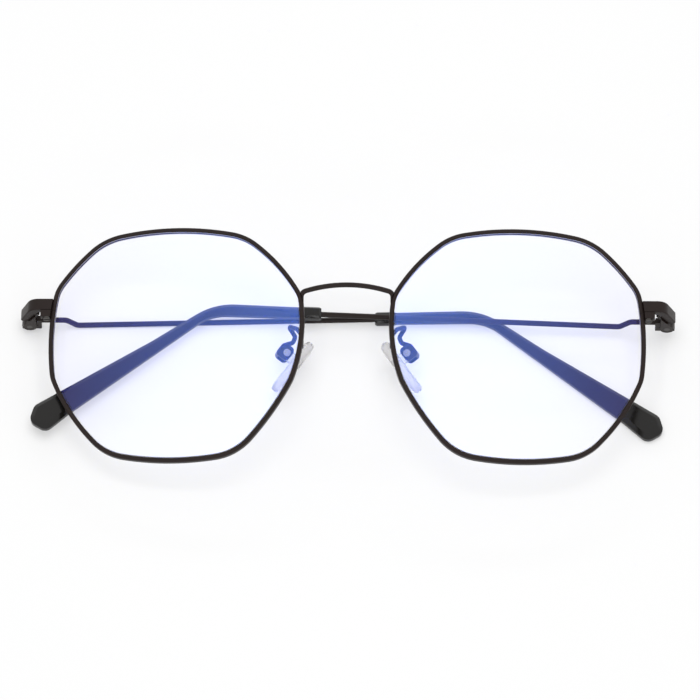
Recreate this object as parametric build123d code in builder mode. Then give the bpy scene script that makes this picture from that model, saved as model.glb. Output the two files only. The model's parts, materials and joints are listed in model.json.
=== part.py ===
from build123d import *
from math import cos, radians, sin, sqrt, tan
import os

os.makedirs("parts", exist_ok=True)

# Wire-rimmed octagonal eyeglasses lying folded on a table, fronts of the lenses up.
# Millimetres. X runs along the front, Y toward the brow and Z up from the table.
# Right means the +X side. The right side is drawn, and the left side is its mirror image.

# Lenses
lens_width = 54.0
lens_height = 52.3
lens_gap = 20.0
lens_thickness = 1.3
base_curve_radius = 132.5
wrap_angle = 5.0
bevel_thickness = 0.6

# The octagon as shares of the lens width and height, from the corner at the top temporal side
# and on past the nose. Each side bows out a little, and each corner is round.
corner_shares = (
    (0.297, 0.466),
    (-0.262, 0.466),
    (-0.489, 0.202),
    (-0.456, -0.162),
    (-0.241, -0.468),
    (0.273, -0.459),
    (0.497, -0.126),
    (0.486, 0.252),
)
bow_shares = (0.032, 0.020, 0.023, 0.015, 0.032, 0.024, 0.014, 0.011)
corner_radius_shares = (0.228, 0.209, 0.130, 0.112, 0.223, 0.224, 0.133, 0.137)

# Rims
rim_width = 1.0
rim_depth = 1.5
rim_edge_radius = 0.32
lens_lap = 0.25
lens_clearance = 0.05

# Bridge
bridge_wire = 1.1
bridge_rise = 13.75
bridge_crown = 1.5
bridge_crown_radius = 28.0
bridge_shoulder_out = 9.9
bridge_shoulder_drop = 2.35
bridge_shoulder_back = 2.2
bridge_foot_out = 9.95
bridge_foot_drop = 6.75
bridge_foot_back = 2.8
bridge_bend_radius = 1.3

# Endpieces, which carry the hinges
pin_beyond_lens = 5.35
pin_rise = 8.95
pin_back = 12.5
pantoscopic_angle = 8.0
bar_height = 2.7
bar_thickness = 1.65
bar_setback = 6.8
bar_length = 8.3
bar_corner_inset = 0.5
bar_outer_radius = 2.6
bar_inner_radius = 0.6
bar_edge_radius = 0.3
leg_thickness = 1.7
leg_flare = 2.0
leg_toe_radius = 0.35
stop_height = 1.9

# Hinges
barrel_radius = 1.5
barrel_height = 3.6
knuckle_count = 3
knuckle_clearance = 0.05
plate_shares = (0.12, 0.74)
web_shares = ((0.85, -0.5), (-0.95, -0.3))
web_lap_shares = (0.05, 0.2)
pin_radius = 0.65
pin_head_radius = 1.0
pin_head_height = 0.45
slot_width = 0.3
slot_depth = 0.2
hinge_plate_thickness = 0.6
running_clearance = 0.05
seat_clearance = 0.02
butt_clearance = 0.15
butt_gap = 0.05
butt_thickness = 1.3
block_start = 1.75
block_end = 2.5
block_front = 0.75
block_height = 1.3
hinge_edge_radius = 0.25

# Closing blocks, which clamp the rims shut round the lenses
closing_height = 1.5
closing_width = 2.7
closing_gap = 0.1
closing_screw_radius = 0.5
closing_screw_grip = 1.9
closing_head_radius = 0.8
closing_head_height = 0.5
closing_screw_out = 4.1

# Nose pads
pad_out = 10.85
pad_drop = 2.2
pad_back = 8.05
pad_frontal_angle = 36.0
pad_splay_angle = 11.5
pad_hang = 1.4
pad_length = 13.5
pad_width = 8.0
pad_thickness = 2.3
pad_edge_radius = 0.9
pad_box_length = 3.4
pad_box_reach = 3.1
pad_box_wall = 0.5
pad_box_web = 0.9
pad_box_inner = 2.1
pad_box_gap = 0.75
pad_box_radius = 1.0
pad_core_width = 1.9
pad_core_length = 2.2
pad_screw_radius = 0.5
pad_screw_head_radius = 0.8
pad_screw_head_height = 0.35

# Pad arms, soldered to the rims beside the nose
arm_wire = 1.0
arm_foot_out = 9.75
arm_foot_rise = 0.9
arm_foot_length = 3.6
arm_foot_width = 0.9
arm_foot_depth = 1.1
arm_foot_radius = 0.3
arm_root_out = 9.7
arm_root_rise = 2.0
arm_root_back = 2.0
arm_run_out = 3.0
arm_run_rise = 3.1
arm_run_back = 5.0
arm_lead = 1.2
arm_lead_in = 1.2
arm_end_in = 0.3
arm_bend_radius = 0.75
arm_shares = ((0.38, 0.61, 0.27), (1.00, 1.00, 0.63), (0.52, 0.42, 1.00))

# Temples
fold_angle = 1.15
temple_wire = 1.2
tip_thickness = 2.3
tip_depth = 1.9
kink_start = 7.9
kink_end = 10.3
kink_radius = 1.3
wire_rise_start = 0.03
wire_slope = 1.77
tip_start = 75.2
collar_length = 4.6
collar_width = 2.75
collar_corner_radius = 0.6
sleeve_start_width = 2.4
sleeve_width = 2.75
hook_start = 98.5
hook_reach = 39.6
hook_drop = 31.4
hook_outer_radius = 14.0
hook_inner_radius = 10.0
collar_bevel = 0.55
facet_width = 0.95
facet_depth = 0.65
tip_corner_radius = 2.0
core_clearance = 0.05
core_bend_radius = 9.0
core_end_share = 0.70
hook_crest_share = (0.341, 0.300)
hook_crest_radius = 40.0
hook_shares = ((0.972, 0.807), (1.000, 0.928), (0.904, 1.000), (0.778, 0.854))
hook_inner_share = 0.02
splay_angle = 2.0
temple_play = 0.15

# How far a cut runs past what it cuts
overrun = 1.0

# Frames of reference. The front is tilted by the pantoscopic angle, and rolled by the small
# angle at which the crossed temples fold, so that both temples lie level.
fold_turn = Location((0, 0, 0), (0, -fold_angle, 0))
front_plane = Plane(fold_turn * Location((0, 0, 0), (pantoscopic_angle, 0, 0)))
mid_plane = Plane(origin=front_plane.origin, z_dir=front_plane.x_dir)
lens_centre = (lens_gap + lens_width) / 2
lens_plane = Plane(front_plane.location * Location((lens_centre, 0, 0), (0, wrap_angle, 0)))

# Along the pin: X outward, Y back from the front and Z up the pin toward the brow
pin_out = lens_gap / 2 + lens_width + pin_beyond_lens
pin_turn = Location((pin_out, pin_rise, -pin_back), (-90 - pantoscopic_angle, 0, 0))
pin_plane = Plane(front_plane.location * pin_turn)

# Along the folded right temple: X inward, Y toward the brow and Z down to the table
temple_plane = Plane(origin=pin_plane.origin, x_dir=(-1, 0, 0), z_dir=(0, 0, -1))

# Along the folded right temple, seen from the side: X inward and Y down to the table
temple_side_plane = Plane(temple_plane.location * Location((0, 0, 0), (90, 0, 0)))

# On a nose pad: X down the pad, Y toward the front and Z toward the nose
frontal = radians(pad_frontal_angle)
splay = radians(pad_splay_angle)
pad_turn = Plane(
    origin=(pad_out, -pad_drop, -pad_back),
    x_dir=(sin(frontal), -cos(frontal), 0),
    z_dir=(-cos(frontal) * cos(splay), -sin(frontal) * cos(splay), -sin(splay)),
)
pad_plane = Plane(front_plane.location * pad_turn.location)


def left_of(point):
    """The mirror image of a point of the front."""
    local = front_plane.to_local_coords(point)
    return front_plane.from_local_coords(Vector(-local.X, local.Y, local.Z))


def side_circle(start, end, bow):
    """The centre and radius of the arc that a bowed side follows."""
    run = end - start
    inward = Vector(-run.Y, run.X).normalized()
    radius = run.length**2 / (8 * bow) + bow / 2
    return (start + end) / 2 + inward * (radius - bow), radius


def circles_meet(first, second, near):
    """The point where two circles cross that is nearer to a given point."""
    (centre, radius), (other_centre, other_radius) = first, second
    run = other_centre - centre
    along = (run.length**2 + radius**2 - other_radius**2) / (2 * run.length)
    across = Vector(-run.Y, run.X).normalized() * sqrt(radius**2 - along**2)
    foot = centre + run.normalized() * along
    return min((foot + across, foot - across), key=lambda point: (point - near).length)


def lens_outline(growth):
    """The octagon of the lens, grown evenly, with bowed sides and round corners."""
    corners = [Vector(x * lens_width, y * lens_height) for x, y in corner_shares]
    following = corners[1:] + corners[:1]
    circles = [
        side_circle(start, end, share * lens_width)
        for start, end, share in zip(corners, following, bow_shares)
    ]
    circles = [(centre, radius + growth) for centre, radius in circles]
    before = circles[-1:] + circles[:-1]
    corners = [circles_meet(*sides) for sides in zip(before, circles, corners)]
    following = corners[1:] + corners[:1]
    with BuildSketch(Plane.XY) as outline:
        with BuildLine():
            for start, end, (centre, radius) in zip(corners, following, circles):
                crown = centre + ((start + end) / 2 - centre).normalized() * radius
                ThreePointArc(start, crown, end)
        make_face()
        for corner, share in zip(corners, corner_radius_shares):
            fillet(outline.vertices().sort_by_distance(corner)[0], share * lens_width + growth)
    return outline.sketch


def curved_plate(growth, above, below):
    """A plate of the lens outline that follows the base curve, between two distances from it."""
    with BuildPart(lens_plane) as plate:
        with BuildSketch(lens_plane):
            add(lens_outline(growth))
        extrude(amount=lens_width / 2, both=True)
        with Locations((0, 0, -base_curve_radius)):
            Sphere(base_curve_radius + above, rotation=(90, 0, 0), mode=Mode.INTERSECT)
            Sphere(base_curve_radius - below, rotation=(90, 0, 0), mode=Mode.SUBTRACT)
    return plate.part


def wire(plane, points, radii, radius):
    """A round wire along straight runs joined by arcs."""
    with BuildPart() as rod:
        with BuildLine() as route:
            FilletPolyline(*[plane.from_local_coords(Vector(point)) for point in points], radius=radii)
        with BuildSketch(Plane(origin=route.line @ 0, z_dir=route.line % 0)):
            Circle(radius)
        sweep()
    return rod.part


def temple_rise(distance):
    """How far toward the brow the temple lies at a distance from its pin."""
    return wire_rise_start + (distance - kink_end) * tan(radians(wire_slope))


front_pieces = {}
temple_pieces = {}

# Lens, with a tongue round its edge
tongue_inset = (lens_thickness - bevel_thickness) / 2
with BuildPart() as lens:
    add(curved_plate(-lens_lap - lens_clearance, 0, lens_thickness))
    add(curved_plate(0, -tongue_inset, lens_thickness - tongue_inset))
front_pieces["lens"] = lens.part

# Rim, a bent bar with a groove for the tongue, slit where the closing block clamps it
rim_proud = (rim_depth - lens_thickness) / 2
rim_growth = rim_width - lens_lap
rim_blank = curved_plate(rim_growth, rim_proud, lens_thickness + rim_proud)
groove = curved_plate(
    lens_clearance,
    lens_clearance - tongue_inset,
    lens_thickness - tongue_inset + lens_clearance,
)
slit_middle = -(bar_height + closing_gap) / 2
with BuildPart() as rim:
    add(rim_blank)
    with BuildSketch(lens_plane):
        add(lens_outline(-lens_lap))
    extrude(amount=lens_width / 2, both=True, mode=Mode.SUBTRACT)
    fillet(rim.faces().filter_by(GeomType.SPHERE).edges(), rim_edge_radius)
    add(groove, mode=Mode.SUBTRACT)
    with BuildSketch(pin_plane.offset(slit_middle)):
        with Locations((-bar_length, -bar_setback)):
            Rectangle(bar_length, bar_setback)
    extrude(amount=closing_gap / 2, both=True, mode=Mode.SUBTRACT)
front_pieces["rim"] = rim.part

# The space inside the rim's outer wall, which shapes what is soldered to that wall
with BuildPart() as rim_space:
    with BuildSketch(lens_plane):
        add(lens_outline(rim_growth))
    extrude(amount=lens_width / 2, both=True)

# Endpiece: a flat bar that turns back from the front as the leg of the hinge
bar_front = -bar_setback - bar_thickness / 2
bar_rear = -bar_setback + bar_thickness / 2
leg_foot = leg_flare - leg_thickness
with BuildSketch(Plane.XY) as endpiece_profile:
    with BuildLine():
        Polyline(
            (-bar_length, bar_front),
            (-bar_corner_inset, bar_front),
            (leg_flare, -stop_height),
            (leg_foot, -stop_height),
            (-bar_corner_inset - leg_thickness, bar_rear),
            (-bar_length, bar_rear),
            close=True,
        )
    make_face()
    for corner, radius in (
        ((-bar_corner_inset, bar_front), bar_outer_radius),
        ((leg_flare, -stop_height), leg_toe_radius),
        ((-bar_corner_inset - leg_thickness, bar_rear), bar_inner_radius),
    ):
        fillet(endpiece_profile.vertices().sort_by_distance(corner)[0], radius)

with BuildPart() as endpiece:
    with BuildSketch(pin_plane):
        add(endpiece_profile.sketch)
    extrude(amount=bar_height / 2, both=True)
    flats = endpiece.faces().filter_by(pin_plane)
    fillet(flats.edges(), bar_edge_radius)
    add(rim_space.part, mode=Mode.SUBTRACT)
    with BuildSketch(pin_plane.offset(-bar_height / 2)):
        with Locations((-closing_screw_out, -bar_setback)):
            Circle(closing_screw_radius + seat_clearance)
    extrude(amount=closing_screw_grip + closing_gap, mode=Mode.SUBTRACT)
front_pieces["endpiece"] = endpiece.part

# Closing block, screwed up against the endpiece with the slit of the rim between them
closing_top = -bar_height / 2 - closing_gap
with BuildPart() as closing_block:
    with BuildSketch(pin_plane.offset(closing_top)):
        with Locations((-closing_screw_out - bar_length / 2, -bar_setback)):
            Rectangle(bar_length + closing_width, bar_thickness)
    extrude(amount=-closing_height)
    fillet(closing_block.faces().sort_by(Axis.Y)[0].edges(), bar_edge_radius)
    add(rim_space.part, mode=Mode.SUBTRACT)
    with BuildSketch(pin_plane.offset(closing_top)):
        with Locations((-closing_screw_out, -bar_setback)):
            Circle(closing_screw_radius + seat_clearance)
    extrude(amount=-closing_height, mode=Mode.SUBTRACT)
front_pieces["closing_block"] = closing_block.part

with BuildPart() as closing_screw:
    with BuildSketch(pin_plane.offset(closing_top - closing_height)):
        with Locations((-closing_screw_out, -bar_setback)):
            Circle(closing_screw_radius)
    extrude(amount=closing_height + closing_gap + closing_screw_grip)
    with BuildSketch(pin_plane.offset(closing_top - closing_height)):
        with Locations((-closing_screw_out, -bar_setback)):
            Circle(closing_head_radius)
    extrude(amount=-closing_head_height)
    with BuildSketch(pin_plane.offset(closing_top - closing_height - closing_head_height)):
        with Locations((-closing_screw_out, -bar_setback)):
            Rectangle(closing_head_radius * 2 + overrun, slot_width)
    extrude(amount=slot_depth, mode=Mode.SUBTRACT)
front_pieces["closing_screw"] = closing_screw.part

# Front half of the hinge: two knuckles on a plate soldered inside the leg
knuckle_pitch = barrel_height / knuckle_count
knuckle_inner = knuckle_pitch / 2 + knuckle_clearance / 2
knuckle_height = barrel_height / 2 - knuckle_inner
leg_start = Vector(-bar_corner_inset - leg_thickness, bar_rear)
leg_end = Vector(leg_foot, -stop_height)
leg_run = leg_end - leg_start
leg_inward = Vector(-leg_run.Y, leg_run.X).normalized()
plate_start, plate_end = (leg_start + leg_run * share for share in plate_shares)
web_outer, web_inner = (Vector(x, y) * barrel_radius for x, y in web_shares)
web_past_leg, web_up_plate = (leg_run * share for share in web_lap_shares)
with BuildPart() as front_hinge:
    for level in (knuckle_inner, -barrel_height / 2):
        with BuildSketch(pin_plane.offset(level)):
            Circle(barrel_radius)
            with BuildLine():
                Polyline(
                    web_outer,
                    leg_end + web_past_leg,
                    plate_start - leg_inward * leg_thickness / 2,
                    plate_start + web_up_plate,
                    web_inner,
                    close=True,
                )
            make_face()
            add(endpiece_profile.sketch, mode=Mode.SUBTRACT)
        extrude(amount=knuckle_height)
    with BuildSketch(pin_plane):
        with BuildLine():
            Polyline(
                plate_start,
                plate_end,
                plate_end + leg_inward * hinge_plate_thickness,
                plate_start + leg_inward * hinge_plate_thickness,
                close=True,
            )
        make_face()
    extrude(amount=bar_height / 2, both=True)
    with BuildSketch(pin_plane):
        Circle(pin_radius + seat_clearance)
    extrude(amount=barrel_height, both=True, mode=Mode.SUBTRACT)
front_pieces["front_hinge"] = front_hinge.part

with BuildPart() as hinge_screw:
    with BuildSketch(pin_plane.offset(-barrel_height / 2)):
        Circle(pin_radius)
    extrude(amount=barrel_height)
    with BuildSketch(pin_plane.offset(barrel_height / 2)):
        Circle(pin_head_radius)
    extrude(amount=pin_head_height)
    with BuildSketch(pin_plane.offset(barrel_height / 2 + pin_head_height)):
        Rectangle(pin_head_radius * 2 + overrun, slot_width)
    extrude(amount=-slot_depth, mode=Mode.SUBTRACT)
front_pieces["hinge_screw"] = hinge_screw.part

# Nose pad, with the core that hangs in its box on a screw
pad_back_face = -pad_thickness / 2
box_near = pad_back_face - pad_box_gap
box_far = box_near - pad_box_reach
screw_level = box_near - (pad_box_reach - pad_box_web) / 2
with BuildPart() as nose_pad:
    with BuildSketch(pad_plane):
        with Locations((pad_hang, 0)):
            Ellipse(pad_length / 2, pad_width / 2)
    extrude(amount=pad_thickness / 2, both=True)
    fillet(nose_pad.faces().filter_by(GeomType.PLANE).edges(), pad_edge_radius)
front_pieces["nose_pad"] = nose_pad.part

box_side = Plane(pad_plane.location * Location((0, 0, screw_level), (90, 0, 0)))
box_middle = (box_near + box_far) / 2 - screw_level
with BuildPart() as pad_box:
    with BuildSketch(box_side):
        with Locations((0, box_middle)):
            RectangleRounded(pad_box_length, pad_box_reach, pad_box_radius)
    extrude(amount=pad_box_inner / 2 + pad_box_wall, both=True)
    with BuildSketch(box_side):
        with Locations((0, box_middle + pad_box_web)):
            Rectangle(pad_box_length + overrun, pad_box_reach)
    extrude(amount=pad_box_inner / 2, both=True, mode=Mode.SUBTRACT)
    with BuildSketch(box_side):
        Circle(pad_screw_radius + seat_clearance)
    extrude(amount=pad_box_length, both=True, mode=Mode.SUBTRACT)
front_pieces["pad_box"] = pad_box.part

core_reach = pad_back_face - screw_level
with BuildPart() as pad_core:
    with BuildSketch(box_side):
        Circle(pad_core_length / 2)
        with Locations((0, core_reach / 2)):
            Rectangle(pad_core_length, core_reach)
        Circle(pad_screw_radius + running_clearance, mode=Mode.SUBTRACT)
    extrude(amount=pad_core_width / 2, both=True)
front_pieces["pad_core"] = pad_core.part

box_half_width = pad_box_inner / 2 + pad_box_wall
with BuildPart() as pad_screw:
    with BuildSketch(box_side):
        Circle(pad_screw_radius)
    extrude(amount=box_half_width, both=True)
    with BuildSketch(box_side.offset(-box_half_width)):
        Circle(pad_screw_head_radius)
    extrude(amount=-pad_screw_head_height)
    with BuildSketch(box_side.offset(-box_half_width - pad_screw_head_height)):
        Rectangle(pad_screw_head_radius * 2 + overrun, slot_width)
    extrude(amount=slot_depth, mode=Mode.SUBTRACT)
front_pieces["pad_screw"] = pad_screw.part

# Pad arm: a wire that loops back from its foot on the rim to the box
arm_level = box_far + pad_box_web / 2
arm_end = pad_turn.from_local_coords(Vector(-pad_box_length / 2, 0, arm_level + arm_end_in))
arm_last = pad_turn.from_local_coords(Vector(-pad_box_length / 2 - arm_lead, 0, arm_level + arm_lead_in))
arm_root = Vector(arm_root_out, arm_root_rise, -arm_root_back)
arm_points = [
    arm_root + Vector(x * arm_run_out, y * arm_run_rise, -z * arm_run_back) for x, y, z in arm_shares
]
arm_route = [arm_root, *arm_points, arm_last, arm_end]
with BuildPart() as pad_arm:
    add(wire(front_plane, arm_route, arm_bend_radius, arm_wire / 2))
    with BuildSketch(front_plane.offset(-arm_root_back)):
        with Locations((arm_foot_out, arm_foot_rise)):
            RectangleRounded(arm_foot_width, arm_foot_length, arm_foot_radius)
    extrude(amount=arm_foot_depth / 2, both=True)
    add(rim_blank, mode=Mode.SUBTRACT)
front_pieces["pad_arm"] = pad_arm.part

# Bridge: an arched wire soldered to the two rims
shoulder_rise = bridge_rise - bridge_shoulder_drop
foot_rise = bridge_rise - bridge_foot_drop
bridge_half = (
    (bridge_shoulder_out, shoulder_rise, bridge_crown - bridge_shoulder_back),
    (bridge_foot_out, foot_rise, bridge_crown - bridge_foot_back),
)
bridge_route = [(-x, y, z) for x, y, z in reversed(bridge_half)]
bridge_route += [(0, bridge_rise, bridge_crown), *bridge_half]
bridge_radii = [bridge_bend_radius, bridge_crown_radius, bridge_bend_radius]
with BuildPart() as bridge:
    add(wire(front_plane, bridge_route, bridge_radii, bridge_wire / 2))
    add(rim_space.part, mode=Mode.SUBTRACT)
    add(mirror(rim_space.part, about=mid_plane), mode=Mode.SUBTRACT)

# Rear half of the hinge: one knuckle, and the butt plate that stops the opened temple
butt_near = barrel_radius + butt_gap
butt_far = butt_near + butt_thickness
butt_face = -stop_height + butt_clearance
with BuildPart() as temple_hinge:
    with BuildSketch(temple_side_plane):
        with BuildLine():
            Polyline(
                (butt_face, butt_near),
                (butt_face, butt_far),
                (block_end, butt_far),
                (block_end, -block_front),
                (block_start, -block_front),
                (block_start, butt_near),
                close=True,
            )
        make_face()
    extrude(amount=block_height / 2, both=True)
    fillet(temple_hinge.edges().filter_by(Axis.Y).sort_by(Axis.X)[0:2], hinge_edge_radius)
    with BuildSketch(temple_side_plane):
        Circle(barrel_radius)
        with Locations((block_start / 2, (butt_near - block_front) / 2)):
            Rectangle(block_start, butt_near + block_front)
        Circle(pin_radius + running_clearance, mode=Mode.SUBTRACT)
    extrude(amount=knuckle_inner - knuckle_clearance, both=True)
temple_pieces["temple_hinge"] = temple_hinge.part

# Temple wire: it leaves the hinge, kinks down to the table and runs on inside its tip
kink_depth = tip_depth + (tip_thickness - temple_wire) / 2
hook_middle = hook_start + hook_inner_share * hook_reach / 2
bend_point = Vector(hook_middle, temple_rise(hook_middle), tip_depth)
hook_top = Vector(hook_start, temple_rise(hook_start) + sleeve_width / 2)
hook_points = [hook_top + Vector(x * hook_reach, -y * hook_drop) for x, y in hook_shares]
hook_crest = hook_top + Vector(hook_crest_share[0] * hook_reach, -hook_crest_share[1] * hook_drop)
hook_end = (hook_points[0] + hook_points[-1]) / 2
hook_end = Vector(hook_end.X, hook_end.Y, tip_depth)
core_end = bend_point + (hook_end - bend_point) * core_end_share
temple_route = [
    Vector(block_end, 0, 0),
    Vector(kink_start, 0, 0),
    Vector(kink_end, wire_rise_start, kink_depth),
    bend_point,
    core_end,
]
temple_radii = [kink_radius, kink_radius, core_bend_radius]
temple_pieces["temple_wire"] = wire(temple_plane, temple_route, temple_radii, temple_wire / 2)
wire_space = wire(temple_plane, temple_route, temple_radii, temple_wire / 2 + core_clearance)

# Temple tip: a faceted plastic sleeve with a collar and a hook that widens to its blunt end
tip_plane = temple_plane.offset(tip_depth)
collar_end = tip_start + collar_length
with BuildSketch(Plane.XY) as collar_outline:
    with BuildLine():
        Polyline(
            (tip_start, temple_rise(tip_start) - collar_width / 2),
            (collar_end, temple_rise(collar_end) - collar_width / 2),
            (collar_end, temple_rise(collar_end) + collar_width / 2),
            (tip_start, temple_rise(tip_start) + collar_width / 2),
            close=True,
        )
    make_face()
    fillet(collar_outline.vertices(), collar_corner_radius)

with BuildPart() as collar:
    with BuildSketch(tip_plane):
        add(collar_outline.sketch)
    extrude(amount=tip_thickness / 2, both=True)
    chamfer(collar.faces().filter_by(Axis.Z).edges(), collar_bevel)

hook_inner = hook_start + hook_inner_share * hook_reach
lower_bend = Vector(hook_inner, temple_rise(hook_inner) - sleeve_width / 2)
tip_corners = [
    (hook_top, hook_outer_radius),
    (hook_crest, hook_crest_radius),
    (lower_bend, hook_inner_radius),
]
tip_corners += [(corner, tip_corner_radius) for corner in hook_points]
with BuildSketch(Plane.XY) as tip_outline:
    with BuildLine():
        Polyline(
            (tip_start, temple_rise(tip_start) + sleeve_start_width / 2),
            hook_top,
            hook_crest,
            *hook_points,
            lower_bend,
            (tip_start, temple_rise(tip_start) - sleeve_start_width / 2),
            close=True,
        )
    make_face()
    for corner, radius in tip_corners:
        fillet(tip_outline.vertices().sort_by_distance(corner)[0], radius)

with BuildPart() as temple_tip:
    with BuildSketch(tip_plane):
        add(tip_outline.sketch)
    extrude(amount=tip_thickness / 2, both=True)
    for side in (temple_tip.faces().sort_by(Axis.Z)[0], temple_tip.faces().sort_by(Axis.Z)[-1]):
        chamfer(side.edges(), facet_width, facet_depth, reference=side)
    add(collar.part)
    add(wire_space, mode=Mode.SUBTRACT)
temple_pieces["temple_tip"] = temple_tip.part

# The left side. The left temple lies lower than the right one, so that the two cross,
# and the play of the hinges lets both lean a little the same way.
left_pin = left_of(pin_plane.origin)
pieces = {"bridge": bridge.part}
for name, piece in front_pieces.items():
    pieces[f"{name}_right"] = piece
    pieces[f"{name}_left"] = mirror(piece, about=mid_plane)
temple_shift = Pos(left_pin.X + pin_plane.origin.X, 0, left_pin.Z - pin_plane.origin.Z)
right_play = Pos(pin_plane.origin) * Rot(0, 0, temple_play) * Pos(-pin_plane.origin)
left_play = Pos(left_pin) * Rot(0, 0, temple_play) * Pos(-left_pin)
for name, piece in temple_pieces.items():
    pieces[f"{name}_right"] = right_play * piece
    pieces[f"{name}_left"] = left_play * temple_shift * mirror(piece, about=Plane.YZ)

# Stand it on the table, with the origin under the middle
box = bridge.part.bounding_box()
for piece in pieces.values():
    box = box.add(piece.bounding_box())
middle = (box.min + box.max) / 2
stand = Pos(-middle.X, -middle.Y, -box.min.Z)
for name, piece in pieces.items():
    placed = stand * piece
    placed.label = name
    export_step(placed, f"parts/{name}.step")

print("size", box.size)
print("right hinge", pin_plane.origin + stand.position)
print("left hinge", left_pin + stand.position)
print("temples open by", 90 - fold_angle + splay_angle, 90 + fold_angle + splay_angle)
print("right pad", box_side.origin + stand.position, "along", box_side.z_dir)
pad_left = left_of(box_side.origin)
pad_left_axis = left_of(box_side.origin + box_side.z_dir) - pad_left
print("left pad", pad_left + stand.position, "along", pad_left_axis)
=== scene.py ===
import json
from math import cos, hypot, pi, radians, sin

import bmesh
import bpy
import numpy as np
from mathutils import Matrix, Vector


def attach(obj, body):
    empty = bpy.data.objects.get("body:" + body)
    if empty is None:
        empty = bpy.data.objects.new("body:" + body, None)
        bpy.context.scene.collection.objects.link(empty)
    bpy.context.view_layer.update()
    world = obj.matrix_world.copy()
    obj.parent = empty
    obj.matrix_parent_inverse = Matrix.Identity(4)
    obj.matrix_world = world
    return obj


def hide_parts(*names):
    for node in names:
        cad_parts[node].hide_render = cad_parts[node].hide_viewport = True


bl_info = {
    "name": "Octagonal eyeglasses",
    "version": (1, 0, 0),
    "blender": (4, 5, 0),
    "location": "3D View > Sidebar > Eyeglasses",
    "description": "Finishes and studio for wire-rimmed octagonal eyeglasses",
    "category": "Object",
}

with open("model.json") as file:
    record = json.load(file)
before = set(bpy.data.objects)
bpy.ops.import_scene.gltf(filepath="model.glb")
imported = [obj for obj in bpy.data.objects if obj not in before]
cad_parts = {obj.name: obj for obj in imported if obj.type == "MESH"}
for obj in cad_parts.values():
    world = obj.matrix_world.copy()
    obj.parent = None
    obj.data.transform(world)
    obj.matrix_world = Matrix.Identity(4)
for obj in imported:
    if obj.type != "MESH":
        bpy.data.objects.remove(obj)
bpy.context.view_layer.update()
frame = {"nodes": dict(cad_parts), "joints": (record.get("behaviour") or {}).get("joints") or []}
SIDES = ("left", "right")
MM = 0.001
# Corners nearer than this are one corner, and heights nearer than this are level
WELD = 0.001 * MM
# Faces that turn less than this are one face
FLAT = radians(0.5)
# Rings inward from the edge of a pad's face: width, and share of the crown that each climbs
CROWN_RINGS = ((0.8 * MM, 0.45), (0.9 * MM, 0.3), (0.9 * MM, 0.25))
# Rings inward from the edge of a pad's back: width, and groove depths that each rises
GROOVE_RINGS = ((1.0 * MM, 0), (0.3 * MM, -1), (0.35 * MM, 0), (0.3 * MM, 1))


class StudioSettings(bpy.types.PropertyGroup):
    """The camera, the lamps, the white surroundings and the white table."""

    elevation: bpy.props.FloatProperty(
        name="Camera elevation", description="Height of the camera above the horizon",
        default=radians(63.0), subtype="ANGLE")
    azimuth: bpy.props.FloatProperty(
        name="Camera azimuth", description="Turn of the camera round the eyeglasses",
        default=radians(0.85), subtype="ANGLE")
    distance: bpy.props.FloatProperty(
        name="Camera distance", description="Distance from the camera to the eyeglasses",
        default=1.5, unit="LENGTH")
    focal_length: bpy.props.FloatProperty(
        name="Focal length", description="Focal length of the lens in millimetres", default=356.5)
    target: bpy.props.FloatVectorProperty(
        name="Target", description="The point in the middle of the picture",
        default=(0.00059, 0.00017, 0.01), subtype="XYZ")
    clip_reach: bpy.props.FloatProperty(
        name="Clip reach", description="Times nearer and farther than its target the camera sees",
        default=100.0)
    lamp_height: bpy.props.FloatProperty(
        name="Lamp height", description="Height of the overhead softbox",
        default=0.75, unit="LENGTH")
    lamp_size: bpy.props.FloatProperty(
        name="Lamp size", description="Side of the overhead softbox", default=0.55, unit="LENGTH")
    lamp_share: bpy.props.FloatProperty(
        name="Lamp share", description="Brightness that the softbox alone gives a white surface",
        default=0.6)
    strip_glow: bpy.props.FloatProperty(
        name="Strip glow", description="Brightness of the two strip lamps, where white paper is 1",
        default=3.0)
    strip_size: bpy.props.FloatVectorProperty(
        name="Strip size", description="Length and height of each strip lamp",
        default=(0.7, 0.08), size=2, unit="LENGTH")
    strip_height: bpy.props.FloatProperty(
        name="Strip height", description="Angle of the strip lamps above the table",
        default=radians(28.0), subtype="ANGLE")
    strip_distance: bpy.props.FloatProperty(
        name="Strip distance", description="Distance from the strip lamps to the eyeglasses",
        default=0.8, unit="LENGTH")
    sky_share: bpy.props.FloatProperty(
        name="Sky share", description="Brightness that the white surroundings give a white surface",
        default=0.5)
    table_size: bpy.props.FloatProperty(
        name="Table size", description="Side of the white table", default=3.0, unit="LENGTH")
    table_white: bpy.props.FloatVectorProperty(
        name="Table white", description="Colour of the white table",
        default=(0.93, 0.93, 0.93), subtype="COLOR")
    table_clear: bpy.props.FloatProperty(
        name="Table clearness", description="Share of light that passes through the white table",
        default=0.45, subtype="FACTOR")


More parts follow.
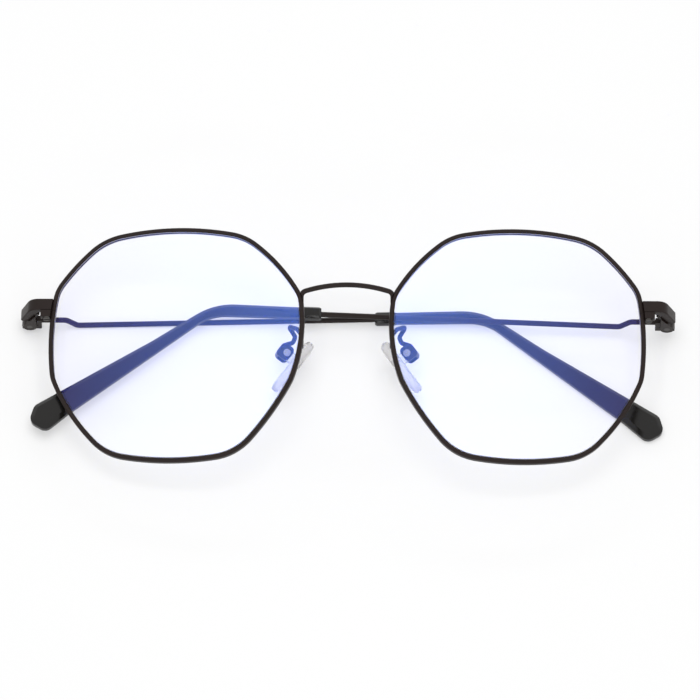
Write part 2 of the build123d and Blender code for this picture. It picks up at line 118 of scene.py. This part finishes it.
class ShapeSettings(bpy.types.PropertyGroup):
    """The sizes of what is shaped here."""

    sharp_angle: bpy.props.FloatProperty(
        name="Sharp angle", description="Edges that turn more than this stay sharp",
        default=radians(32.0), subtype="ANGLE")
    tip_round: bpy.props.FloatProperty(
        name="Tip rounding", description="Width of the rounding along a temple tip's facets",
        default=0.34 * MM, unit="LENGTH")
    tip_steps: bpy.props.IntProperty(
        name="Tip steps", description="Faces across the rounding along a temple tip's facets",
        default=4)
    pad_crown: bpy.props.FloatProperty(
        name="Pad crown", description="How far the pad's face bulges toward the nose",
        default=0.4 * MM, unit="LENGTH")
    pad_round: bpy.props.FloatProperty(
        name="Pad rounding", description="Radius round the edge of a nose pad",
        default=0.85 * MM, unit="LENGTH")
    pad_steps: bpy.props.IntProperty(
        name="Pad steps", description="Faces across the rounding of a nose pad's edge", default=5)
    pad_corners: bpy.props.IntProperty(
        name="Pad corners", description="Corners round the oval of a nose pad", default=64)
    pad_rim: bpy.props.FloatProperty(
        name="Pad rim", description="Corners farther out than this share of the oval are its rim",
        default=0.98, subtype="FACTOR")
    pad_groove: bpy.props.FloatProperty(
        name="Pad groove", description="Depth of the groove round the pad's mounting boss",
        default=0.25 * MM, unit="LENGTH")


class FinishSettings(bpy.types.PropertyGroup):
    """The colours of the finishes, and where they change."""

    enamel: bpy.props.FloatVectorProperty(
        name="Enamel", description="Satin black enamel of the metal parts",
        default=(0.0165, 0.0105, 0.0092), subtype="COLOR")
    pad_steel: bpy.props.FloatVectorProperty(
        name="Pad screw steel", description="Bright steel of the screws that hold the nose pads",
        default=(0.36, 0.35, 0.35), subtype="COLOR")
    steel: bpy.props.FloatVectorProperty(
        name="Steel", description="Dark steel of the hinge screws and the closing screws",
        default=(0.075, 0.07, 0.066), subtype="COLOR")
    acetate: bpy.props.FloatVectorProperty(
        name="Acetate", description="Glossy black of the temple tips",
        default=(0.0065, 0.0058, 0.0052), subtype="COLOR")
    # The coating's blue is its own, but its fall from bright blue beside the nose to dark at the
    # temple, over the span and wander below, is a painted reflection
    coating_and_painted_reflection_nasal: bpy.props.FloatVectorProperty(
        name="Coating by the nose", description="What the lens coating mirrors beside the nose",
        default=(0.028, 0.060, 0.215), subtype="COLOR")
    coating_and_painted_reflection_temporal: bpy.props.FloatVectorProperty(
        name="Coating by the temple", description="What the lens coating mirrors at the outer edge",
        default=(0.010, 0.010, 0.055), subtype="COLOR")
    painted_reflection_span: bpy.props.FloatVectorProperty(
        name="Coating span", description="Distances from the nose where the two colours are full",
        default=(10 * MM, 66 * MM), size=2, unit="LENGTH")
    painted_reflection_wander: bpy.props.FloatProperty(
        name="Coating wander", description="How far the coating's colour wanders sideways",
        default=6 * MM, unit="LENGTH")
    lens_clear: bpy.props.FloatVectorProperty(
        name="Lens clearness", description="What each face of a lens lets through",
        default=(0.985, 0.987, 0.985), subtype="COLOR")
    ground_edge: bpy.props.FloatVectorProperty(
        name="Ground edge", description="Frosted edge of the lenses, seen inside the rims",
        default=(0.62, 0.60, 0.62), subtype="COLOR")
    edge_slope: bpy.props.FloatProperty(
        name="Edge slope", description="Faces of a lens whose normals rise less are its edge",
        default=0.7, subtype="FACTOR")
    silicone: bpy.props.FloatVectorProperty(
        name="Silicone", description="Clear silicone of the nose pads",
        default=(0.87, 0.855, 0.85), subtype="COLOR")
    pad_plastic: bpy.props.FloatVectorProperty(
        name="Pad plastic", description="Clear plastic of the blocks inside the nose pads",
        default=(0.93, 0.94, 0.96), subtype="COLOR")


def settings(group):
    """One of this add-on's groups of settings."""
    return getattr(bpy.context.scene, group)


def new_material(name):
    """Starts a material: a function that adds nodes to it, and one that joins up its surface."""
    material = bpy.data.materials.new(name)
    material.use_nodes = True
    tree = material.node_tree
    tree.nodes.clear()
    output = tree.nodes.new("ShaderNodeOutputMaterial")

    def add(kind, inputs=None, **values):
        node = tree.nodes.new(kind)
        for key, value in values.items():
            setattr(node, key, value)
        for key, value in (inputs or {}).items():
            if isinstance(value, bpy.types.NodeSocket):
                tree.links.new(value, node.inputs[key])
            else:
                node.inputs[key].default_value = value
        return node

    def finish(socket):
        tree.links.new(socket, output.inputs["Surface"])
        return material

    return add, finish


def rgba(colour):
    """A colour with full alpha."""
    return (*colour, 1.0)


def noise(add, place, scale, detail):
    """Noise in a piece's own coordinates, as a mask."""
    texture = add("ShaderNodeTexNoise", {"Vector": place, "Scale": scale, "Detail": detail})
    return texture.outputs["Fac"]


def shades(add, mask, colour, darkest, lightest):
    """A colour that a mask moves between two shares of itself."""
    ramp = add("ShaderNodeValToRGB", {"Fac": mask})
    for stop, share in zip(ramp.color_ramp.elements, (darkest, lightest)):
        stop.color = rgba([share * c for c in colour])
    return ramp.outputs["Color"]


def span(add, mask, low, high):
    """A value that a mask moves between a low and a high one."""
    return add(
        "ShaderNodeMapRange", {"Value": mask, "To Min": low, "To Max": high}).outputs["Result"]


def relief(add, mask, strength, depth):
    """The normal of a surface with a mask's fine relief."""
    bump = add("ShaderNodeBump", {"Strength": strength, "Distance": depth, "Height": mask})
    return bump.outputs["Normal"]


def reckon(add, operation, *values):
    """The result of one sum on sockets and numbers."""
    return add("ShaderNodeMath", dict(enumerate(values)), operation=operation).outputs[0]


def enamel_material():
    """Satin black enamel over metal: faint clouds and a fine orange peel."""
    add, finish = new_material("black_enamel")
    colour = settings("eyeglass_finishes").enamel
    place = add("ShaderNodeTexCoord").outputs["Object"]
    clouds = noise(add, place, scale=180.0, detail=4.0)
    peel = noise(add, place, scale=2600.0, detail=2.0)
    body = add(
        "ShaderNodeBsdfPrincipled",
        {
            "Base Color": shades(add, clouds, colour, darkest=0.75, lightest=1.35),
            "Roughness": span(add, clouds, low=0.30, high=0.42),
            "Normal": relief(add, peel, strength=0.12, depth=0.02 * MM),
            "Specular IOR Level": 0.2,
        })
    return finish(body.outputs["BSDF"])


def steel_material(name, colour):
    """Steel of one colour, with fine turning marks."""
    add, finish = new_material(name)
    place = add("ShaderNodeTexCoord").outputs["Object"]
    marks = noise(add, place, scale=5000.0, detail=3.0)
    body = add(
        "ShaderNodeBsdfPrincipled",
        {
            "Base Color": shades(add, marks, colour, darkest=0.6, lightest=1.5),
            "Metallic": 1.0,
            "Roughness": 0.34,
            "Normal": relief(add, marks, strength=0.2, depth=0.01 * MM),
        })
    return finish(body.outputs["BSDF"])


def acetate_material():
    """Polished black acetate, with faint streaks and hairline scratches in its gloss."""
    add, finish = new_material("tip_acetate")
    colour = settings("eyeglass_finishes").acetate
    place = add("ShaderNodeTexCoord").outputs["Object"]
    streaks = noise(add, place, scale=90.0, detail=5.0)
    scratches = noise(add, place, scale=1400.0, detail=4.0)
    body = add(
        "ShaderNodeBsdfPrincipled",
        {
            "Base Color": shades(add, streaks, colour, darkest=0.7, lightest=1.5),
            "Roughness": span(add, scratches, low=0.10, high=0.24),
            "Normal": relief(add, scratches, strength=0.05, depth=0.02 * MM),
            "Specular IOR Level": 0.34,
        })
    return finish(body.outputs["BSDF"])


def lens_material():
    """A clear lens with a coating that mirrors blue, whose painted reflection is brightest beside
    the nose and darker at the temple, and a frosted edge.
    """
    add, finish = new_material("coated_lens")
    finishes = settings("eyeglass_finishes")
    coordinates = add("ShaderNodeTexCoord").outputs
    place = coordinates["Object"]
    # Painted reflection: the mirrored blue fades from bright beside the nose to dark at the temple,
    # by distance from the middle, with noise wandering the fade
    outward = reckon(
        add, "ABSOLUTE", add("ShaderNodeSeparateXYZ", {"Vector": place}).outputs["X"])
    painted_reflection_wobble = noise(add, place, scale=60.0, detail=2.0)
    wander = reckon(add, "MULTIPLY", painted_reflection_wobble, finishes.painted_reflection_wander)
    nasal_end, temporal_end = finishes.painted_reflection_span
    share = add(
        "ShaderNodeMapRange",
        {
            "Value": reckon(add, "ADD", outward, wander),
            "From Min": nasal_end,
            "From Max": temporal_end,
        })
    tint = add(
        "ShaderNodeMix",
        {
            "Factor": share.outputs["Result"],
            "A": rgba(finishes.coating_and_painted_reflection_nasal),
            "B": rgba(finishes.coating_and_painted_reflection_temporal),
        },
        data_type="RGBA")
    clear = add("ShaderNodeBsdfTransparent", {"Color": rgba(finishes.lens_clear)})
    mirror = add("ShaderNodeBsdfGlossy", {"Color": tint.outputs["Result"], "Roughness": 0.04})
    coated = add("ShaderNodeAddShader", {0: clear.outputs[0], 1: mirror.outputs[0]})
    facing = add("ShaderNodeSeparateXYZ", {"Vector": coordinates["Normal"]})
    level = reckon(add, "ABSOLUTE", facing.outputs["Z"])
    edge = reckon(add, "LESS_THAN", level, finishes.edge_slope)
    grain = noise(add, place, scale=3000.0, detail=2.0)
    ground = shades(add, grain, finishes.ground_edge, darkest=0.8, lightest=1.0)
    frost = add("ShaderNodeBsdfDiffuse", {"Color": ground})
    body = add("ShaderNodeMixShader", {0: edge, 1: coated.outputs[0], 2: frost.outputs[0]})
    return finish(body.outputs[0])


def silicone_material():
    """Clear silicone, a little cloudy, with a soft sheen."""
    add, finish = new_material("pad_silicone")
    place = add("ShaderNodeTexCoord").outputs["Object"]
    cloud = noise(add, place, scale=400.0, detail=4.0)
    body = add(
        "ShaderNodeBsdfPrincipled",
        {
            "Base Color": rgba(settings("eyeglass_finishes").silicone),
            "Roughness": span(add, cloud, low=0.22, high=0.38),
            "Normal": relief(add, cloud, strength=0.1, depth=0.03 * MM),
            "Transmission Weight": 0.85,
            "IOR": 1.41,
        })
    return finish(body.outputs["BSDF"])


def pad_plastic_material():
    """Clear plastic of the block inside a nose pad, with faint flow lines."""
    add, finish = new_material("pad_plastic")
    place = add("ShaderNodeTexCoord").outputs["Object"]
    flow = add("ShaderNodeTexWave", {"Vector": place, "Scale": 900.0, "Distortion": 6.0})
    body = add(
        "ShaderNodeBsdfPrincipled",
        {
            "Base Color": rgba(settings("eyeglass_finishes").pad_plastic),
            "Roughness": span(add, flow.outputs["Fac"], low=0.08, high=0.2),
            "Transmission Weight": 0.9,
            "IOR": 1.49,
        })
    return finish(body.outputs["BSDF"])


def smooth_facets():
    """A node group that joins a mesh's triangles and shades all but its sharp edges smooth."""
    name = "smooth_facets"
    if name in bpy.data.node_groups:
        return bpy.data.node_groups[name]
    group = bpy.data.node_groups.new(name, "GeometryNodeTree")
    for way in ("INPUT", "OUTPUT"):
        group.interface.new_socket("Geometry", in_out=way, socket_type="NodeSocketGeometry")
    start = group.nodes.new("NodeGroupInput")
    end = group.nodes.new("NodeGroupOutput")
    joined = group.nodes.new("GeometryNodeMergeByDistance")
    joined.inputs["Distance"].default_value = WELD
    angle = group.nodes.new("GeometryNodeInputMeshEdgeAngle")
    sharp = group.nodes.new("FunctionNodeCompare")
    sharp.inputs["B"].default_value = settings("eyeglass_shapes").sharp_angle
    rounded = group.nodes.new("GeometryNodeSetShadeSmooth")
    creased = group.nodes.new("GeometryNodeSetShadeSmooth")
    creased.domain = "EDGE"
    creased.inputs["Shade Smooth"].default_value = False
    link = group.links.new
    link(start.outputs[0], joined.inputs["Geometry"])
    link(joined.outputs[0], rounded.inputs["Geometry"])
    link(angle.outputs["Unsigned Angle"], sharp.inputs["A"])
    link(sharp.outputs["Result"], creased.inputs["Selection"])
    link(rounded.outputs[0], creased.inputs["Geometry"])
    link(creased.outputs[0], end.inputs[0])
    return group


def shade_smooth(piece):
    """Shades a piece smooth but for its sharp edges."""
    piece.modifiers.new("smooth_facets", "NODES").node_group = smooth_facets()


def finish_node(node, material):
    """Puts a material in every slot of a CAD node, and smooths its shading."""
    for slot in frame["nodes"][node].material_slots:
        slot.material = material
    shade_smooth(frame["nodes"][node])


def add_piece(name, shape, material, body, slot, *nodes):
    """Makes a piece of a finished bmesh that rides on a body and stands for CAD nodes."""
    mesh = bpy.data.meshes.new(name)
    bmesh.ops.recalc_face_normals(shape, faces=shape.faces)
    shape.to_mesh(mesh)
    shape.free()
    mesh.materials.append(material)
    piece = bpy.data.objects.new(name, mesh)
    bpy.context.scene.collection.objects.link(piece)
    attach(piece, body)
    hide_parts(*nodes)
    shade_smooth(piece)
    return piece


def node_shape(node):
    """A bmesh of a CAD node, with its triangles joined into whole faces."""
    shape = bmesh.new()
    shape.from_mesh(frame["nodes"][node].data)
    bmesh.ops.remove_doubles(shape, verts=shape.verts, dist=WELD)
    bmesh.ops.dissolve_limit(
        shape, angle_limit=FLAT, verts=shape.verts, edges=shape.edges, delimit={"NORMAL"})
    return shape


class EYEGLASSES_OT_studio(bpy.types.Operator):
    """Sets up the white surroundings, the white table, the lamps and the camera"""

    bl_idname = "eyeglasses.studio"
    bl_label = "Studio"

    def execute(self, context):
        studio = settings("eyeglass_studio")
        scene = context.scene
        scene.view_settings.view_transform = "Standard"
        self.make_surroundings(scene, studio)
        self.make_table(scene, studio)
        self.make_softbox(scene, studio)
        self.make_strips(scene, studio)
        self.make_camera(scene, studio)
        return {"FINISHED"}

    def make_surroundings(self, scene, studio):
        """White to the camera, in metal and through glass, and dimmer as a light."""
        world = bpy.data.worlds.new("surroundings")
        world.use_nodes = True
        tree = world.node_tree
        tree.nodes.clear()
        path = tree.nodes.new("ShaderNodeLightPath")
        seen = path.outputs["Is Camera Ray"]
        for kind in ("Is Glossy Ray", "Is Transmission Ray"):
            either = tree.nodes.new("ShaderNodeMath")
            either.operation = "MAXIMUM"
            tree.links.new(seen, either.inputs[0])
            tree.links.new(path.outputs[kind], either.inputs[1])
            seen = either.outputs[0]
        strength = tree.nodes.new("ShaderNodeMapRange")
        strength.inputs["To Min"].default_value = studio.sky_share
        tree.links.new(seen, strength.inputs["Value"])
        background = tree.nodes.new("ShaderNodeBackground")
        background.inputs["Color"].default_value = (1, 1, 1, 1)
        tree.links.new(strength.outputs["Result"], background.inputs["Strength"])
        output = tree.nodes.new("ShaderNodeOutputWorld")
        tree.links.new(background.outputs[0], output.inputs["Surface"])
        scene.world = world

    def make_table(self, scene, studio):
        """A white sheet that takes the shadow and lets an opened temple show below it."""
        shape = bmesh.new()
        bmesh.ops.create_grid(shape, x_segments=1, y_segments=1, size=studio.table_size / 2)
        mesh = bpy.data.meshes.new("table_top")
        shape.to_mesh(mesh)
        shape.free()
        table = bpy.data.objects.new("table_top", mesh)
        scene.collection.objects.link(table)
        add, finish = new_material("white_table")
        white = add("ShaderNodeBsdfDiffuse", {"Color": rgba(studio.table_white)})
        clear = add("ShaderNodeBsdfTransparent")
        both = add(
            "ShaderNodeMixShader",
            {0: studio.table_clear, 1: white.outputs[0], 2: clear.outputs[0]})
        mesh.materials.append(finish(both.outputs[0]))

    def make_softbox(self, scene, studio):
        """An overhead softbox whose power gives a white surface its share of brightness."""
        lamp = bpy.data.lights.new("softbox", "AREA")
        lamp.size = studio.lamp_size
        lamp.energy = studio.lamp_share * pi**2 * studio.lamp_height**2
        holder = bpy.data.objects.new("softbox", lamp)
        holder.location = (0, 0, studio.lamp_height)
        holder.visible_glossy = False
        scene.collection.objects.link(holder)

    def make_strips(self, scene, studio):
        """Two low strip lamps, before and behind, that draw highlights on the black edges."""
        length, height = studio.strip_size
        for name, way in (("strip_front", -1), ("strip_back", 1)):
            lamp = bpy.data.lights.new(name, "AREA")
            lamp.shape = "RECTANGLE"
            lamp.size = length
            lamp.size_y = height
            lamp.energy = studio.strip_glow * pi * length * height
            holder = bpy.data.objects.new(name, lamp)
            toward = Vector((0, way * cos(studio.strip_height), sin(studio.strip_height)))
            turn = toward.to_track_quat("Z", "Y").to_matrix().to_4x4()
            holder.matrix_world = Matrix.Translation(toward * studio.strip_distance) @ turn
            scene.collection.objects.link(holder)

    def make_camera(self, scene, studio):
        """The camera of the photograph."""
        elevation, azimuth = studio.elevation, studio.azimuth
        back = Vector((
            cos(elevation) * sin(azimuth), -cos(elevation) * cos(azimuth), sin(elevation)))
        right = Vector((0, 0, 1)).cross(back).normalized()
        turn = Matrix((right, back.cross(right), back)).transposed()
        camera = bpy.data.cameras.new("camera")
        camera.lens = studio.focal_length
        camera.clip_start = studio.distance / studio.clip_reach
        camera.clip_end = studio.distance * studio.clip_reach
        holder = bpy.data.objects.new("camera", camera)
        holder.matrix_world = Matrix.Translation(
            Vector(studio.target) + back * studio.distance) @ turn.to_4x4()
        scene.collection.objects.link(holder)
        scene.camera = holder


class EYEGLASSES_OT_metal(bpy.types.Operator):
    """Finishes the rims, the bridge, the endpieces, the hinges, the wires and the screws"""

    bl_idname = "eyeglasses.metal"
    bl_label = "Metal parts"

    def execute(self, context):
        enamel = enamel_material()
        finishes = settings("eyeglass_finishes")
        steel = steel_material("screw_steel", finishes.steel)
        bright = steel_material("pad_screw_steel", finishes.pad_steel)
        finish_node("bridge", enamel)
        for side in SIDES:
            for part in (
                "rim", "endpiece", "closing_block", "front_hinge", "pad_arm", "pad_box",
                "temple_hinge", "temple_wire",
            ):
                finish_node(f"{part}_{side}", enamel)
            for part in ("closing_screw", "hinge_screw"):
                finish_node(f"{part}_{side}", steel)
            finish_node(f"pad_screw_{side}", bright)
        return {"FINISHED"}


class EYEGLASSES_OT_lenses(bpy.types.Operator):
    """Gives the lenses their blue-mirroring coating, with a painted reflection that is brightest
    beside the nose
    """

    bl_idname = "eyeglasses.lenses"
    bl_label = "Lenses"

    def execute(self, context):
        coated = lens_material()
        for side in SIDES:
            finish_node(f"lens_{side}", coated)
        return {"FINISHED"}


class EYEGLASSES_OT_tips(bpy.types.Operator):
    """Makes the temple tips, with polished roundings along their facets"""

    bl_idname = "eyeglasses.tips"
    bl_label = "Temple tips"

    def execute(self, context):
        acetate = acetate_material()
        shapes = settings("eyeglass_shapes")
        for side in SIDES:
            node = f"temple_tip_{side}"
            shape = node_shape(node)
            ridges = [
                edge for edge in shape.edges
                if edge.is_manifold and edge.calc_face_angle_signed() > shapes.sharp_angle
            ]
            bmesh.ops.bevel(
                shape, geom=ridges, offset=shapes.tip_round, segments=shapes.tip_steps,
                profile=0.5, affect="EDGES", material=-1, clamp_overlap=True)
            add_piece(
                f"polished_tip_{side}", shape, acetate, f"temple_{side}", "tip_acetate", node)
        return {"FINISHED"}


class EYEGLASSES_OT_pads(bpy.types.Operator):
    """Makes the crowned silicone nose pads, and finishes the blocks inside them"""

    bl_idname = "eyeglasses.pads"
    bl_label = "Nose pads"

    def execute(self, context):
        silicone = silicone_material()
        plastic = pad_plastic_material()
        for side in SIDES:
            node = f"nose_pad_{side}"
            pad = add_piece(
                f"silicone_pad_{side}", self.pad_shape(side), silicone, f"pad_{side}",
                "pad_silicone", node)
            finish_node(f"pad_core_{side}", plastic)
        return {"FINISHED"}

    def pad_place(self, side):
        """How a pad is turned, where its middle lies, and its size down, across and inward."""
        joint = next(one for one in frame["joints"] if one["name"] == f"pad_{side}_rock")
        across = Vector(joint["axis"]).normalized()
        points = np.array([v.co for v in frame["nodes"][f"nose_pad_{side}"].data.vertices])
        flat = points - np.outer(points @ np.array(across), across)
        spread = np.linalg.eigh(np.cov(flat.T))
        down = Vector(spread.eigenvectors[:, np.argmax(spread.eigenvalues)])
        down = (down - across * down.dot(across)).normalized()
        if down.y > 0:
            down.negate()
        inward = down.cross(across)
        if inward.x * points[:, 0].mean() > 0:
            inward.negate()
            across.negate()
        turn = Matrix((down, across, inward)).transposed()
        local = points @ np.array(turn)
        low, high = local.min(axis=0), local.max(axis=0)
        return turn, turn @ Vector((low + high) / 2), Vector(high - low)

    def pad_shape(self, side):
        """An oval pad with a crowned face, a round edge and a boss for its block on the back."""
        shapes = settings("eyeglass_shapes")
        turn, middle, size = self.pad_place(side)
        shape = bmesh.new()
        bmesh.ops.create_circle(shape, cap_ends=True, segments=shapes.pad_corners, radius=0.5)
        bmesh.ops.scale(shape, vec=(size.x, size.y, 1), verts=shape.verts)
        back = shape.faces[:]
        bmesh.ops.translate(shape, vec=(0, 0, -size.z / 2), verts=shape.verts)
        grown = bmesh.ops.extrude_face_region(shape, geom=back, use_keep_orig=True)["geom"]
        front = [part for part in grown if isinstance(part, bmesh.types.BMFace)]
        raised = [part for part in grown if isinstance(part, bmesh.types.BMVert)]
        bmesh.ops.translate(shape, vec=(0, 0, size.z - shapes.pad_crown), verts=raised)
        bmesh.ops.recalc_face_normals(shape, faces=shape.faces)
        for faces, rings, height in (
            (front, CROWN_RINGS, shapes.pad_crown),
            (back, GROOVE_RINGS, shapes.pad_groove),
        ):
            for width, share in rings:
                bmesh.ops.inset_region(
                    shape, faces=faces, thickness=width, depth=height * share,
                    use_even_offset=True)
        rim = [
            edge for edge in shape.edges
            if edge.is_manifold and edge.calc_face_angle() > shapes.sharp_angle
            and all(
                2 * hypot(corner.co.x / size.x, corner.co.y / size.y) > shapes.pad_rim
                for corner in edge.verts)
            and abs(edge.verts[0].co.z - edge.verts[1].co.z) < WELD
        ]
        bmesh.ops.bevel(
            shape, geom=rim, offset=shapes.pad_round, segments=shapes.pad_steps,
            profile=0.5, affect="EDGES", material=-1, clamp_overlap=True)
        bmesh.ops.transform(
            shape, matrix=Matrix.Translation(middle) @ turn.to_4x4(), verts=shape.verts)
        return shape


class EYEGLASSES_PT_panel(bpy.types.Panel):
    """Lists the steps that make the picture"""

    bl_label = "Eyeglasses"
    bl_idname = "EYEGLASSES_PT_panel"
    bl_space_type = "VIEW_3D"
    bl_region_type = "UI"
    bl_category = "Eyeglasses"

    def draw(self, context):
        for step in STEPS:
            self.layout.operator(step.bl_idname)
        scene = context.scene
        for group in (scene.eyeglass_studio, scene.eyeglass_shapes, scene.eyeglass_finishes):
            for name in group.__annotations__:
                self.layout.prop(group, name)


STEPS = (
    EYEGLASSES_OT_studio,
    EYEGLASSES_OT_metal,
    EYEGLASSES_OT_lenses,
    EYEGLASSES_OT_tips,
    EYEGLASSES_OT_pads,
)
CLASSES = (StudioSettings, ShapeSettings, FinishSettings, *STEPS, EYEGLASSES_PT_panel)


def register():
    """Adds the classes and their settings to Blender."""
    for kind in CLASSES:
        bpy.utils.register_class(kind)
    bpy.types.Scene.eyeglass_studio = bpy.props.PointerProperty(type=StudioSettings)
    bpy.types.Scene.eyeglass_shapes = bpy.props.PointerProperty(type=ShapeSettings)
    bpy.types.Scene.eyeglass_finishes = bpy.props.PointerProperty(type=FinishSettings)


def unregister():
    """Takes the classes and their settings out again."""
    del bpy.types.Scene.eyeglass_finishes
    del bpy.types.Scene.eyeglass_shapes
    del bpy.types.Scene.eyeglass_studio
    for kind in reversed(CLASSES):
        bpy.utils.unregister_class(kind)


def main():
    """Runs every step."""
    register()
    for step in STEPS:
        group, name = step.bl_idname.split(".")
        getattr(getattr(bpy.ops, group), name)()


if __name__ == "__main__":
    main()
